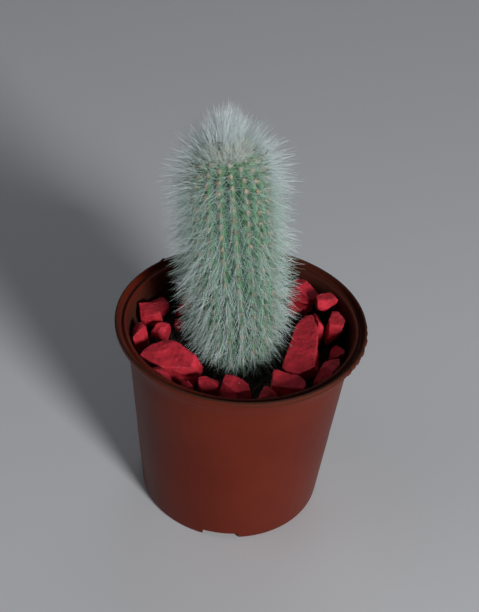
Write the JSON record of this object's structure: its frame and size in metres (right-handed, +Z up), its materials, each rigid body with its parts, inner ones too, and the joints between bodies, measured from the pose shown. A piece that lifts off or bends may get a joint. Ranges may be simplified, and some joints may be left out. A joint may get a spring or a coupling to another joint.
{
  "type": "potted columnar cactus with white bristles",
  "caption": "Columnar ribbed cactus covered in long fine white bristles, leaning a little in a small tapered plastic nursery pot with soil and a top dressing of crushed stone.",
  "frame": {"origin": "centre of the ring that the pot stands on, at the bottom of the object", "axes": "+Z up along the pot's axis and the cactus, +X to the right and +Y away from the front, the side that the picture shows"},
  "size_m": [0.065, 0.065, 0.1173],
  "materials": {
    "pot_plastic": "satin injection-moulded polypropylene, red-brown",
    "peat": "dark moist peat with fine fibres",
    "cactus_skin": "green waxy skin under white glassy bristles",
    "dyed_stone": "crushed stone with crimson dye, rough and matte"
  },
  "bodies": {
    "root": {"cactus": "cactus_skin", "pot": "pot_plastic", "soil": "peat", "stone_01": "dyed_stone", "stone_02": "dyed_stone", "stone_03": "dyed_stone", "stone_04": "dyed_stone", "stone_05": "dyed_stone", "stone_06": "dyed_stone", "stone_07": "dyed_stone", "stone_08": "dyed_stone", "stone_09": "dyed_stone", "stone_10": "dyed_stone", "stone_11": "dyed_stone", "stone_12": "dyed_stone", "stone_13": "dyed_stone", "stone_14": "dyed_stone", "stone_15": "dyed_stone", "stone_16": "dyed_stone", "stone_17": "dyed_stone", "stone_18": "dyed_stone", "stone_19": "dyed_stone", "stone_20": "dyed_stone", "stone_21": "dyed_stone", "stone_22": "dyed_stone", "stone_23": "dyed_stone", "stone_24": "dyed_stone", "stone_25": "dyed_stone", "stone_26": "dyed_stone", "stone_27": "dyed_stone", "stone_28": "dyed_stone", "stone_29": "dyed_stone", "stone_30": "dyed_stone"}
  },
  "joints": []
}
